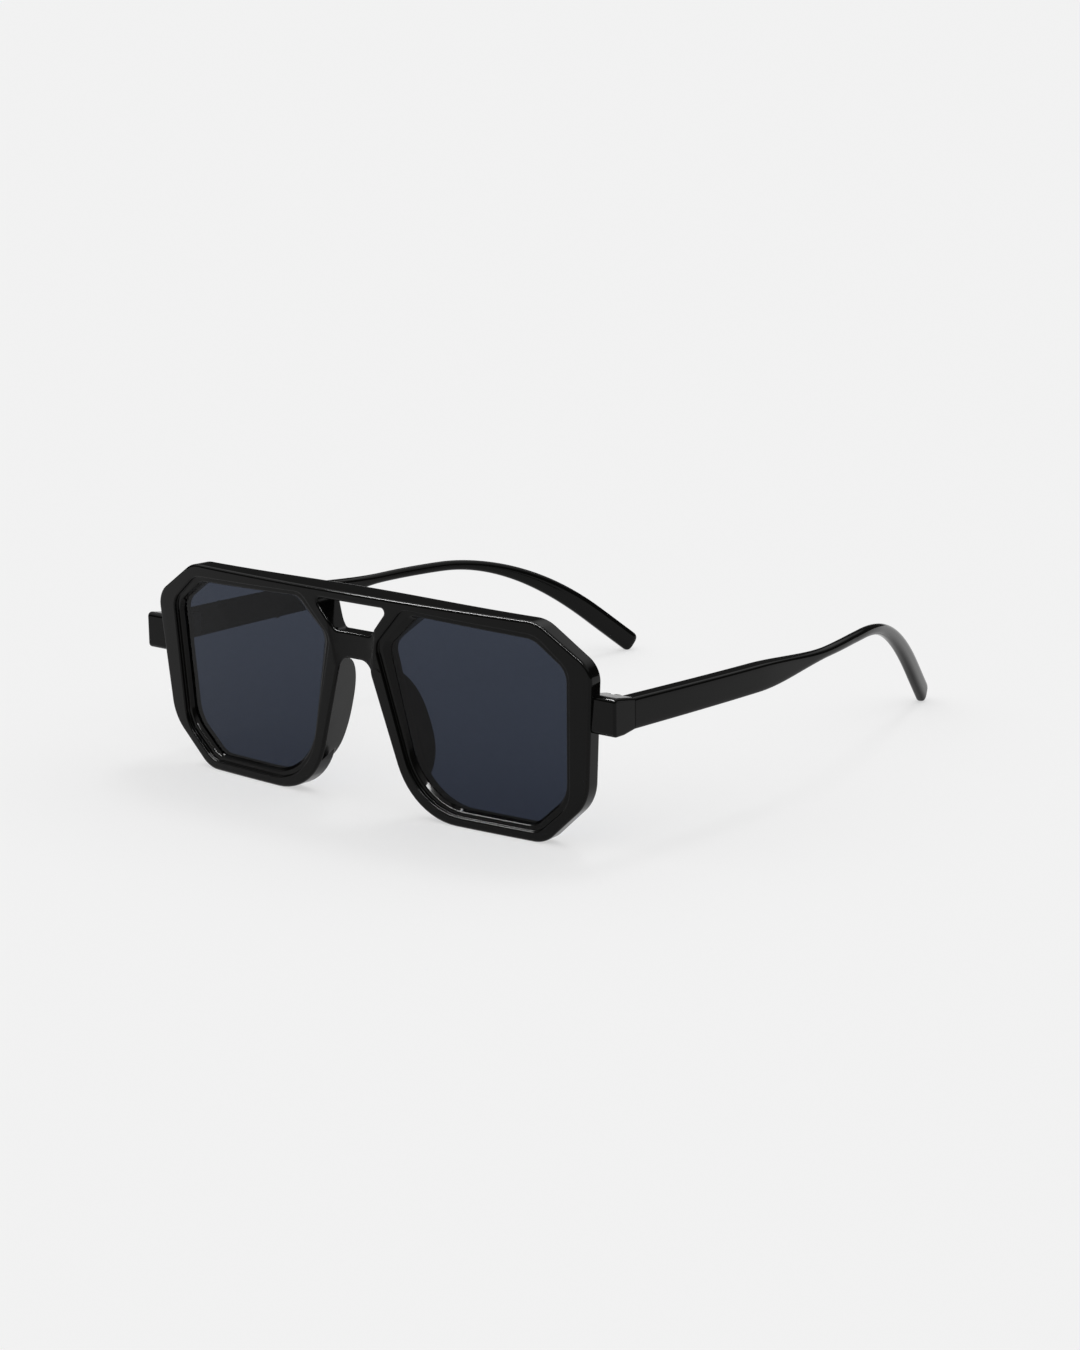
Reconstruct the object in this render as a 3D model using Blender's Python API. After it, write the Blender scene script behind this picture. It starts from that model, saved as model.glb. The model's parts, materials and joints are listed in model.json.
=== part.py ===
"""Aviator sunglasses: a moulded front with two bevelled rims, two lenses, two saddle nose pads and two
hinged temples.

Left is the wearer's left, at +X. The wearer looks along -Y, and the sunglasses stand on the rims and the
temple tips, on Z = 0.
"""

import math

import bmesh
import bpy
from mathutils import Matrix, Vector

MM = 0.001

# Front, seen face on: X across, Z up
FRONT_HEIGHT = 47.3 * MM
RIM_HALF_WIDTH = 62.5 * MM
SIDE_TAPER = 2.4 * MM
TOP_CHAMFER_WIDTH = 12.9 * MM
TOP_CHAMFER_HEIGHT = 8.5 * MM
LOWER_CHAMFER_WIDTH = 11.2 * MM
LOWER_CHAMFER_HEIGHT = 10.3 * MM
NOSE_HALF_WIDTH_BOTTOM = 14.3 * MM
NOSE_HALF_WIDTH_TOP = 3.9 * MM
NOSE_CORNER_RADIUS = 16.0 * MM
ARCH_BELOW_TOP = 14.6 * MM
HOLE_BELOW_TOP = 2.2 * MM
HOLE_HEIGHT = 6.6 * MM
HOLE_HALF_WIDTH_TOP = 10.6 * MM
HOLE_HALF_WIDTH_BOTTOM = 5.0 * MM

# Front, seen from above: it wraps round the face, and leans
WRAP_RADIUS = 565.0 * MM
LEAN = 0.053
RIM_DEPTH = 4.0 * MM
REAR_LIP = 0.67 * MM
BROW_EXTRA_DEPTH = 3.6 * MM
BROW_REACH = 38.0 * MM
EDGE_RADIUS = 0.65 * MM

# Widths of the rim's face round the lens opening
BAND_TOP_NASAL = 1.8 * MM
BAND_TOP_OUTER = 2.9 * MM
BAND_SIDE_TOP = 5.6 * MM
BAND_SIDE_LOW = 4.5 * MM
BAND_BOTTOM = 2.2 * MM
BAND_NOSE = 2.4 * MM

# The step that runs round each opening, and the groove that holds the lens
STEP_DEPTH = 0.85 * MM
LEDGE = 1.0 * MM
LEDGE_SLOPE = 0.35 * MM
NOSE_LEDGE = 1.5 * MM
NOSE_SLOPE = 1.4 * MM
LENS_SET_BACK = 1.85 * MM
LENS_THICKNESS = 1.2 * MM
LENS_IN_GROOVE = 0.6 * MM
FIT_GAP = 0.2 * MM

# End lugs, which turn back to meet the temples
LUG_PROJECTION = 5.0 * MM
LUG_OVERLAP = 2.9 * MM
LUG_TOP_BELOW_FRONT_TOP = 13.75 * MM
LUG_HEIGHT = 8.3 * MM
LUG_SET_BACK = 0.6 * MM
LUG_LENGTH = 6.6 * MM
LUG_EDGE = 0.4 * MM
HINGE_BELOW_LUG_MIDDLE = 0.3 * MM

# Temples
BLADE_HEIGHT = 6.7 * MM
BLADE_TAPER = 0.7 * MM
BLADE_WIDTH = 3.8 * MM
BLADE_LENGTH = 41.0 * MM
NARROWING_LENGTH = 29.0 * MM
ARM_HEIGHT = 2.4 * MM
ARM_WIDTH = 2.4 * MM
TIP_HEIGHT = 5.0 * MM
TIP_WIDTH = 2.6 * MM
TIP_ROUNDING = 1.1 * MM
TEMPLE_REACH = 141.2 * MM
BEND_START = 88.0 * MM
BEND_END = 130.0 * MM
TOE_IN_START = 62.0 * MM
TOE_IN_END = 100.0 * MM
TOE_IN_SLOPE = 0.35
BOW = 1.0 * MM
RISE = 1.3 * MM
DOWN_SLOPE = 0.021
SEAM_GAP = 0.15 * MM

# Hinges
HINGE_INSIDE_FACE = 1.0 * MM
BARREL_RADIUS = 1.2 * MM
BARREL_HEIGHT = 1.7 * MM
BARREL_GAP = 0.1 * MM
PIN_RADIUS = 0.62 * MM
PIN_CLEARANCE = 0.08 * MM
SCREW_HEAD_RADIUS = 1.05 * MM
SCREW_HEAD_HEIGHT = 0.5 * MM
LEAF_THICKNESS = 0.9 * MM
LEAF_LENGTH = 7.0 * MM
FRONT_LEAF_LENGTH = 3.6 * MM
METAL_GAP = 0.2 * MM

# Stiffening wires in the temples
WIRE_RADIUS = 0.4 * MM
WIRE_GAP = 0.2 * MM
WIRE_END_MARGIN = 14.0 * MM

# Nose pads
PAD_TOP_BELOW_ARCH = 0.6 * MM
PAD_BOTTOM = 6.6 * MM
PAD_DEPTH = 10.3 * MM
PAD_SPLAY = 0.27
PAD_THICKNESS = 1.5 * MM
PAD_ROUNDNESS = 2.4
PAD_FRONT_SET_BACK = 0.75 * MM
PAD_GAP = 0.25 * MM
PAD_CUT_OUTWARD = 1.5 * MM
PAD_CUT_TAPER = 6.0 * MM

ARC_STEPS = 5
SLICE_WIDTH = 6.0 * MM

BLACK = (0.022, 0.022, 0.021, 1.0)
SMOKE = (0.10, 0.115, 0.14, 1.0)
STEEL = (0.62, 0.61, 0.58, 1.0)


def clear_scene():
    for obj in list(bpy.data.objects):
        bpy.data.objects.remove(obj, do_unlink=True)


def new_collection(name):
    collection = bpy.data.collections.new(name)
    bpy.context.scene.collection.children.link(collection)
    return collection


def principled(name, colour, roughness, metallic=0.0, alpha=1.0):
    material = bpy.data.materials.new(name)
    material.use_nodes = True
    shader = material.node_tree.nodes["Principled BSDF"]
    shader.inputs["Base Color"].default_value = colour
    shader.inputs["Roughness"].default_value = roughness
    shader.inputs["Metallic"].default_value = metallic
    shader.inputs["Alpha"].default_value = alpha
    return material


def add_object(name, mesh, collection, material=None):
    obj = bpy.data.objects.new(name, mesh)
    collection.objects.link(obj)
    if material:
        mesh.materials.append(material)
    return obj


def add_cutter(name, mesh, collection):
    obj = add_object(name, mesh, collection)
    obj.hide_render = True
    obj.display_type = "WIRE"
    return obj


def shade(mesh):
    mesh.shade_smooth()
    mesh.set_sharp_from_angle(angle=math.radians(35))


def boolean(obj, operation, other):
    modifier = obj.modifiers.new(f"{operation.title()} {other.name}", "BOOLEAN")
    modifier.operation = operation
    modifier.object = other
    modifier.solver = "EXACT"
    return modifier


def smooth_step(value, start, end):
    share = min(max((value - start) / (end - start), 0.0), 1.0)
    return share * share * (3.0 - 2.0 * share)


def mix(first, second, share):
    return first + (second - first) * share


# Outlines: lists of (x, z), made from corners (x, z, radius)


def rounded(corners):
    """The closed outline through the corners, each one rounded with an arc."""
    outline = []
    for index, (x, z, radius) in enumerate(corners):
        corner = Vector((x, z))
        before = (Vector(corners[index - 1][:2]) - corner).normalized()
        after = (Vector(corners[(index + 1) % len(corners)][:2]) - corner).normalized()
        half_angle = before.angle(after) / 2
        centre = corner + (before + after).normalized() * (radius / math.sin(half_angle))
        start = corner + before * (radius / math.tan(half_angle)) - centre
        end = corner + after * (radius / math.tan(half_angle)) - centre
        turn = start.angle_signed(end)
        for step in range(ARC_STEPS + 1):
            point = centre + Matrix.Rotation(-turn * step / ARC_STEPS, 2) @ start
            outline.append((point.x, point.y))
    return outline


def nose_line(z):
    """Half the width of the gap between the rims, at height z."""
    return mix(NOSE_HALF_WIDTH_BOTTOM, NOSE_HALF_WIDTH_TOP, z / (FRONT_HEIGHT - ARCH_BELOW_TOP))


def nose_edge(z):
    """The same along the rim itself, which rounds away from that line at its lower corner."""
    radius = NOSE_CORNER_RADIUS
    slope = math.atan2(FRONT_HEIGHT - ARCH_BELOW_TOP, NOSE_HALF_WIDTH_BOTTOM - NOSE_HALF_WIDTH_TOP)
    centre = NOSE_HALF_WIDTH_BOTTOM + radius * (1.0 - math.cos(slope)) / math.sin(slope)
    if z >= radius * (1.0 - math.cos(slope)):
        return nose_line(z)
    return centre - math.sqrt(radius**2 - (radius - z) ** 2)


def front_outline():
    arch = FRONT_HEIGHT - ARCH_BELOW_TOP
    half = [
        (RIM_HALF_WIDTH - TOP_CHAMFER_WIDTH, FRONT_HEIGHT, 7.8 * MM),
        (RIM_HALF_WIDTH, FRONT_HEIGHT - TOP_CHAMFER_HEIGHT, 5.5 * MM),
        (RIM_HALF_WIDTH - SIDE_TAPER, LOWER_CHAMFER_HEIGHT, 10.0 * MM),
        (RIM_HALF_WIDTH - SIDE_TAPER - LOWER_CHAMFER_WIDTH, 0.0, 6.9 * MM),
        (NOSE_HALF_WIDTH_BOTTOM, 0.0, NOSE_CORNER_RADIUS),
        (nose_line(arch), arch, 3.0 * MM),
    ]
    mirrored = [(-x, z, radius) for x, z, radius in reversed(half)]
    return rounded(half + mirrored)


def bridge_hole_outline():
    top = FRONT_HEIGHT - HOLE_BELOW_TOP
    bottom = top - HOLE_HEIGHT
    return rounded(
        [
            (-HOLE_HALF_WIDTH_TOP, top, 0.9 * MM),
            (-HOLE_HALF_WIDTH_BOTTOM, bottom, 1.2 * MM),
            (HOLE_HALF_WIDTH_BOTTOM, bottom, 1.2 * MM),
            (HOLE_HALF_WIDTH_TOP, top, 0.9 * MM),
        ]
    )


def opening_outline(inset, nose_inset):
    """The left lens opening, drawn in from the edge of the rim's face, and further beside the nose."""
    side = RIM_HALF_WIDTH - BAND_SIDE_TOP - inset
    side_low = RIM_HALF_WIDTH - SIDE_TAPER - BAND_SIDE_LOW - inset
    bottom = BAND_BOTTOM + inset
    nasal_top = FRONT_HEIGHT - BAND_TOP_NASAL - inset
    nose_low = nose_line(bottom) + BAND_NOSE + 0.4 * nose_inset
    nose_high_z = FRONT_HEIGHT - 10.5 * MM
    nose_high = nose_line(nose_high_z) + BAND_NOSE + 1.4 * MM + nose_inset
    corners = [
        (side - 7.9 * MM, FRONT_HEIGHT - BAND_TOP_OUTER - inset, 6.0 * MM),
        (side, FRONT_HEIGHT - 9.3 * MM - 0.4 * inset, 4.5 * MM),
        (side_low, bottom + 7.2 * MM, 8.0 * MM),
        (side_low - 8.2 * MM, bottom, 5.0 * MM),
        (nose_low, bottom, 15.0 * MM),
        (nose_high, nose_high_z, 3.5 * MM),
        (nose_high + 8.2 * MM, nasal_top, 3.5 * MM),
    ]
    return rounded(corners)


# The front is drawn flat, then bent: depth runs from its front face to the back


def front_surface(x, z):
    wrap = WRAP_RADIUS - math.sqrt(WRAP_RADIUS**2 - x**2)
    return wrap + LEAN * (FRONT_HEIGHT / 2 - z)


def brow_depth(x, z):
    """How much deeper than a rim the front is: most at the middle of the brow bar."""
    hole_top = FRONT_HEIGHT - HOLE_BELOW_TOP
    share = 0.15 + 0.85 * smooth_step(z, hole_top - HOLE_HEIGHT, hole_top)
    return BROW_EXTRA_DEPTH * share * math.exp(-((x / BROW_REACH) ** 2))


def bent(x, depth, z):
    if depth > RIM_DEPTH - REAR_LIP - 0.01 * MM:
        depth += brow_depth(x, z)
    return Vector((x * (1.0 - depth / WRAP_RADIUS), front_surface(x, z) + depth, z))


def bend_mesh(mesh):
    """Slices a flat mesh across, so that it can follow the wrap, and bends it."""
    shape = bmesh.new()
    shape.from_mesh(mesh)
    slices = math.floor(RIM_HALF_WIDTH / SLICE_WIDTH)
    for index in range(-slices, slices + 1):
        geometry = shape.verts[:] + shape.edges[:] + shape.faces[:]
        bmesh.ops.bisect_plane(
            shape,
            geom=geometry,
            dist=0.01 * MM,
            plane_co=(index * SLICE_WIDTH, 0.0, 0.0),
            plane_no=(1.0, 0.0, 0.0),
        )
    for vertex in shape.verts:
        vertex.co = bent(*vertex.co)
    shape.to_mesh(mesh)
    shape.free()


def curve_solid(outlines, thickness, edge_radius=0.0):
    """A mesh of flat outlines, extruded: x across, depth along Y and z up. Later outlines are holes."""
    curve = bpy.data.curves.new("outline", "CURVE")
    curve.dimensions = "2D"
    curve.fill_mode = "BOTH"
    curve.extrude = thickness / 2 - edge_radius
    curve.bevel_depth = edge_radius
    curve.bevel_resolution = 1
    curve.offset = -edge_radius
    for outline in outlines:
        spline = curve.splines.new("POLY")
        spline.points.add(len(outline) - 1)
        for point, (x, z) in zip(spline.points, outline):
            point.co = (x, z, 0.0, 1.0)
        spline.use_cyclic_u = True
    helper = bpy.data.objects.new("outline", curve)
    bpy.context.scene.collection.objects.link(helper)
    graph = bpy.context.evaluated_depsgraph_get()
    mesh = bpy.data.meshes.new_from_object(helper.evaluated_get(graph))
    bpy.data.objects.remove(helper, do_unlink=True)
    bpy.data.curves.remove(curve)
    shape = bmesh.new()
    shape.from_mesh(mesh)
    bmesh.ops.remove_doubles(shape, verts=shape.verts, dist=0.001 * MM)
    for vertex in shape.verts:
        x, z, depth = vertex.co
        vertex.co = (x, depth + thickness / 2, z)
    shape.normal_update()
    bmesh.ops.recalc_face_normals(shape, faces=shape.faces)
    shape.to_mesh(mesh)
    shape.free()
    return mesh


def loft(rings):
    """A closed mesh through rings of points, all with the same number of points."""
    shape = bmesh.new()
    rows = [[shape.verts.new(point) for point in ring] for ring in rings]
    for lower, upper in zip(rows, rows[1:]):
        for index in range(len(lower)):
            after = (index + 1) % len(lower)
            shape.faces.new((lower[index], lower[after], upper[after], upper[index]))
    shape.faces.new(rows[0])
    shape.faces.new(rows[-1])
    bmesh.ops.recalc_face_normals(shape, faces=shape.faces)
    mesh = bpy.data.meshes.new("loft")
    shape.to_mesh(mesh)
    shape.free()
    return mesh


def ring_at(outline, depth):
    return [Vector((x, depth, z)) for x, z in outline]


def mirrored_mesh(mesh):
    copy = mesh.copy()
    copy.transform(Matrix.Scale(-1.0, 4, Vector((1.0, 0.0, 0.0))))
    copy.flip_normals()
    return copy


def lens_opening_cutter():
    face_edge = opening_outline(0.0, 0.0)
    ledge_edge = opening_outline(LEDGE, NOSE_LEDGE)
    lens_edge = opening_outline(LEDGE + LEDGE_SLOPE, NOSE_LEDGE + NOSE_SLOPE)
    groove_inset = LEDGE + LEDGE_SLOPE - LENS_IN_GROOVE - FIT_GAP
    groove = opening_outline(groove_inset, groove_inset + NOSE_LEDGE + NOSE_SLOPE - LEDGE - LEDGE_SLOPE)
    groove_front = LENS_SET_BACK - FIT_GAP
    groove_back = LENS_SET_BACK + LENS_THICKNESS + FIT_GAP
    rings = [
        ring_at(face_edge, -1.0 * MM),
        ring_at(face_edge, STEP_DEPTH),
        ring_at(ledge_edge, STEP_DEPTH),
        ring_at(lens_edge, groove_front),
        ring_at(groove, groove_front),
        ring_at(groove, groove_back),
        ring_at(lens_edge, groove_back),
        ring_at(lens_edge, RIM_DEPTH + 1.0 * MM),
    ]
    return loft(rings)


def lens_mesh():
    """A lens: smaller copies of its outline fill it, so that both faces follow the front's wrap."""
    inset = LEDGE + LEDGE_SLOPE - LENS_IN_GROOVE
    outline = opening_outline(inset, inset + NOSE_LEDGE + NOSE_SLOPE - LEDGE - LEDGE_SLOPE)
    middle = Vector((sum(x for x, _ in outline), sum(z for _, z in outline))) / len(outline)
    back = LENS_SET_BACK + LENS_THICKNESS
    rings = []
    for depth, shares in ((LENS_SET_BACK, (0.2, 0.5, 0.8, 1.0)), (back, (1.0, 0.8, 0.5, 0.2))):
        for share in shares:
            points = [middle + (Vector(point) - middle) * share for point in outline]
            rings.append(ring_at([tuple(point) for point in points], depth))
    mesh = loft(rings)
    bend_mesh(mesh)
    return mesh


# Places that several pieces share


def lug_top():
    return FRONT_HEIGHT - LUG_TOP_BELOW_FRONT_TOP


def lug_outer():
    return RIM_HALF_WIDTH + LUG_PROJECTION


def hinge_height():
    return lug_top() - LUG_HEIGHT / 2 - HINGE_BELOW_LUG_MIDDLE


def lug_front():
    return front_surface(RIM_HALF_WIDTH, hinge_height()) + LUG_SET_BACK


def seam_y():
    return lug_front() + LUG_LENGTH


def hinge_axis():
    return Vector((lug_outer() - BLADE_WIDTH - HINGE_INSIDE_FACE, seam_y(), hinge_height()))


def hinge_half_height():
    return 1.5 * BARREL_HEIGHT + BARREL_GAP


def lug_mesh():
    """The left lug: its side view, extruded across."""
    top = lug_top()
    bottom = top - LUG_HEIGHT
    low = hinge_height() - BLADE_HEIGHT / 2
    high = hinge_height() + BLADE_HEIGHT / 2
    back = seam_y() - SEAM_GAP / 2
    outline = rounded(
        [
            (lug_front(), bottom, LUG_EDGE + 0.6 * MM),
            (lug_front() + 0.5 * LUG_LENGTH, bottom, 2.0 * MM),
            (back, low, LUG_EDGE + 0.1 * MM),
            (back, high, LUG_EDGE + 0.1 * MM),
            (lug_front(), top, LUG_EDGE + 0.6 * MM),
        ]
    )
    mesh = curve_solid([outline], LUG_PROJECTION + LUG_OVERLAP, LUG_EDGE)
    turn_to_side(mesh, RIM_HALF_WIDTH - LUG_OVERLAP)
    return mesh


def turn_to_side(mesh, start_x):
    """Turns a solid drawn in (x, z) with its depth along Y into one drawn in (y, z) and deep along X."""
    for vertex in mesh.vertices:
        y, depth, z = vertex.co
        vertex.co = (start_x + depth, y, z)
    mesh.flip_normals()


def cylinder_mesh(radius, height, centre, sides=24):
    shape = bmesh.new()
    bmesh.ops.create_cone(
        shape, cap_ends=True, segments=sides, radius1=radius, radius2=radius, depth=height
    )
    bmesh.ops.translate(shape, verts=shape.verts, vec=centre)
    mesh = bpy.data.meshes.new("cylinder")
    shape.to_mesh(mesh)
    shape.free()
    return mesh


def box_mesh(low, high):
    shape = bmesh.new()
    bmesh.ops.create_cube(shape, size=1.0)
    size = Vector(high) - Vector(low)
    bmesh.ops.scale(shape, verts=shape.verts, vec=size)
    bmesh.ops.translate(shape, verts=shape.verts, vec=(Vector(low) + Vector(high)) / 2)
    mesh = bpy.data.meshes.new("box")
    shape.to_mesh(mesh)
    shape.free()
    return mesh


def pad_ring(z, gap):
    """A level cut through the left pad: along its face beside the nose, then back along its other side.

    With a gap it is the recess for the pad, which also takes away the rim beside the pad's face.
    """
    bottom = PAD_BOTTOM
    top = FRONT_HEIGHT - ARCH_BELOW_TOP - PAD_TOP_BELOW_ARCH
    share = min(abs(2.0 * (z - bottom) / (top - bottom) - 1.0), 1.0)
    reach = PAD_DEPTH * (1.0 - share**PAD_ROUNDNESS) ** (1.0 / PAD_ROUNDNESS)
    front_x = nose_edge(z) + 0.25 * MM
    front_y = front_surface(front_x, z) + PAD_FRONT_SET_BACK
    across = Vector((1.0, -PAD_SPLAY)).normalized()
    along = Vector((PAD_SPLAY, 1.0)).normalized()
    start = Vector((front_x, front_y)) - along * gap
    reach = max(reach, 1.2 * MM) + 2.0 * gap
    clearance = gap
    if gap:
        clearance += PAD_CUT_OUTWARD * smooth_step(z, bottom + 0.3 * MM, bottom + PAD_CUT_TAPER)
    points = []
    for index in range(7):
        share = index / 6
        points.append(start + along * (reach * share) - across * clearance)
    for index in range(7):
        share = 1.0 - index / 6
        thickness = PAD_THICKNESS * (1.0 - 0.45 * share**2) + gap
        points.append(start + along * (reach * share) + across * thickness)
    return [Vector((x, y, z)) for x, y in points]


def pad_mesh(gap=0.0):
    bottom = PAD_BOTTOM
    top = FRONT_HEIGHT - ARCH_BELOW_TOP - PAD_TOP_BELOW_ARCH
    levels = 14
    rings = []
    for index in range(levels + 1):
        turn = math.pi * index / levels
        rings.append(pad_ring(mix(bottom, top, 0.5 - 0.5 * math.cos(turn)), gap))
    for point in rings[0]:
        point.z -= gap
    for point in rings[-1]:
        point.z += gap
    return loft(rings)


# Temples: everything is placed by u, the distance behind the seam


def blade_share(u):
    return 1.0 - smooth_step(u, BLADE_LENGTH, BLADE_LENGTH + NARROWING_LENGTH)


def ramp(u, start, end):
    """Zero before start, then a parabola to end, then a straight line of slope one."""
    if u <= start:
        return 0.0
    if u >= end:
        return (end - start) / 2 + u - end
    return (u - start) ** 2 / (2 * (end - start))


def spine(u, drop):
    """The middle of the left temple at u, and the direction that it runs in."""
    x = lug_outer() - BLADE_WIDTH / 2 + BOW * math.sin(math.pi * min(u / (2 * BLADE_LENGTH), 1.0))
    x -= TOE_IN_SLOPE * ramp(u, TOE_IN_START, TOE_IN_END)
    z = hinge_height() - DOWN_SLOPE * u + RISE * smooth_step(u, BLADE_LENGTH, BEND_START)
    z -= drop * ramp(u, BEND_START, BEND_END)
    return Vector((x, seam_y() + SEAM_GAP / 2 + u, z))


def section(u):
    """Half width, half height and squareness of the temple at u."""
    blade = blade_share(u)
    tip = smooth_step(u, BEND_START + 4.0 * MM, TEMPLE_REACH - 8.0 * MM)
    width = mix(mix(ARM_WIDTH, TIP_WIDTH, tip), BLADE_WIDTH, blade)
    blade_height = BLADE_HEIGHT - BLADE_TAPER * min(u / BLADE_LENGTH, 1.0)
    height = mix(mix(ARM_HEIGHT, TIP_HEIGHT, tip), blade_height, blade)
    squareness = mix(mix(2.2, 3.0, tip), 7.0, blade)
    return width / 2, height / 2, squareness


def section_ring(u, drop, scale=1.0, sides=20):
    centre = spine(u, drop)
    step = 0.5 * MM
    along = (spine(u + step, drop) - spine(u - step, drop)).normalized()
    if u < BLADE_LENGTH / 4:
        along = Vector((0.0, 1.0, 0.0))
    across = along.cross(Vector((0.0, 0.0, 1.0))).normalized()
    upward = across.cross(along)
    half_width, half_height, squareness = section(u)
    ring = []
    for index in range(sides):
        turn = 2 * math.pi * (index + 0.5) / sides
        cosine = math.cos(turn)
        sine = math.sin(turn)
        x = math.copysign(abs(cosine) ** (2 / squareness), cosine) * half_width * scale
        z = math.copysign(abs(sine) ** (2 / squareness), sine) * half_height * scale
        ring.append(centre + across * x + upward * z)
    return ring


def temple_rings(drop):
    places = [0.0, 1.0 * MM, 8.0 * MM, 18.0 * MM, 30.0 * MM]
    steps = 26
    for index in range(steps + 1):
        places.append(mix(BLADE_LENGTH, TEMPLE_REACH - TIP_ROUNDING, index / steps))
    rings = [section_ring(u, drop) for u in places]
    for index in range(1, 4):
        turn = math.pi / 2 * index / 3
        u = TEMPLE_REACH - TIP_ROUNDING + TIP_ROUNDING * math.sin(turn)
        scale = 1.0 - 2 * TIP_ROUNDING / TIP_HEIGHT * (1.0 - math.cos(turn))
        rings.append(section_ring(u, drop, scale))
    return rings


def temple_drop():
    """The slope of the tip that brings its lowest point down to the floor."""
    drop = 0.65
    for _ in range(8):
        lowest = min(point.z for ring in temple_rings(drop) for point in ring)
        drop += lowest / (TEMPLE_REACH - (BEND_START + BEND_END) / 2)
    return drop


def wire_offset():
    return BLADE_WIDTH / 2 - WIRE_RADIUS - WIRE_GAP - 0.55 * MM


def wire_points(drop):
    """The wire lies towards the blade's outer face, clear of the hinge, then in the middle of the arm."""
    points = []
    steps = 30
    start = 1.2 * MM
    end = TEMPLE_REACH - WIRE_END_MARGIN
    for index in range(steps + 1):
        u = mix(start, end, index / steps)
        aside = Vector((wire_offset() * blade_share(u), 0.0, 0.0))
        points.append(spine(u, drop) + aside)
    return points


def tube_mesh(points, radius, resolution=2):
    curve = bpy.data.curves.new("tube", "CURVE")
    curve.dimensions = "3D"
    curve.bevel_depth = radius
    curve.bevel_resolution = resolution
    curve.use_fill_caps = True
    spline = curve.splines.new("POLY")
    spline.points.add(len(points) - 1)
    for point, place in zip(spline.points, points):
        point.co = (*place, 1.0)
    helper = bpy.data.objects.new("tube", curve)
    bpy.context.scene.collection.objects.link(helper)
    graph = bpy.context.evaluated_depsgraph_get()
    mesh = bpy.data.meshes.new_from_object(helper.evaluated_get(graph))
    bpy.data.objects.remove(helper, do_unlink=True)
    bpy.data.curves.remove(curve)
    shape = bmesh.new()
    shape.from_mesh(mesh)
    bmesh.ops.remove_doubles(shape, verts=shape.verts, dist=0.001 * MM)
    bmesh.ops.recalc_face_normals(shape, faces=shape.faces)
    shape.to_mesh(mesh)
    shape.free()
    return mesh


# Hinge metal, for the left side


def leaf_box(low_x, high_x, low_y, high_y, grow=0.0):
    axis = hinge_axis()
    half = hinge_half_height() - 0.1 * MM + grow
    low = (axis.x + low_x - grow, axis.y + low_y - grow, axis.z - half)
    high = (axis.x + high_x + grow, axis.y + high_y + grow, axis.z + half)
    return box_mesh(low, high)


def front_plate(grow=0.0):
    """The front leaf's plate, let into the inner side of the lug."""
    return leaf_box(-BARREL_RADIUS, -BARREL_RADIUS + LEAF_THICKNESS, -FRONT_LEAF_LENGTH, 0.0, grow)


def temple_plate(grow=0.0):
    """The temple leaf's plate, let into the inner face of the blade."""
    face = HINGE_INSIDE_FACE
    return leaf_box(face, face + LEAF_THICKNESS, 0.35 * MM, LEAF_LENGTH, grow)


def barrel(level):
    centre = hinge_axis() + Vector((0.0, 0.0, level * (BARREL_HEIGHT + BARREL_GAP)))
    return cylinder_mesh(BARREL_RADIUS, BARREL_HEIGHT, centre)


def level_box(level, low_x, high_x, low_y, high_y):
    axis = hinge_axis()
    middle = axis.z + level * (BARREL_HEIGHT + BARREL_GAP)
    half = BARREL_HEIGHT / 2 - 0.15 * MM
    low = (axis.x + low_x, axis.y + low_y, middle - half)
    high = (axis.x + high_x, axis.y + high_y, middle + half)
    return box_mesh(low, high)


def screw_mesh():
    axis = hinge_axis()
    half = hinge_half_height()
    shank = cylinder_mesh(PIN_RADIUS, 2 * half + 0.15 * MM, axis + Vector((0.0, 0.0, 0.075 * MM)), 20)
    head_middle = half + 0.1 * MM + SCREW_HEAD_HEIGHT / 2
    head = cylinder_mesh(SCREW_HEAD_RADIUS, SCREW_HEAD_HEIGHT, axis + Vector((0.0, 0.0, head_middle)))
    return shank, head


# Building each named piece


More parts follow.
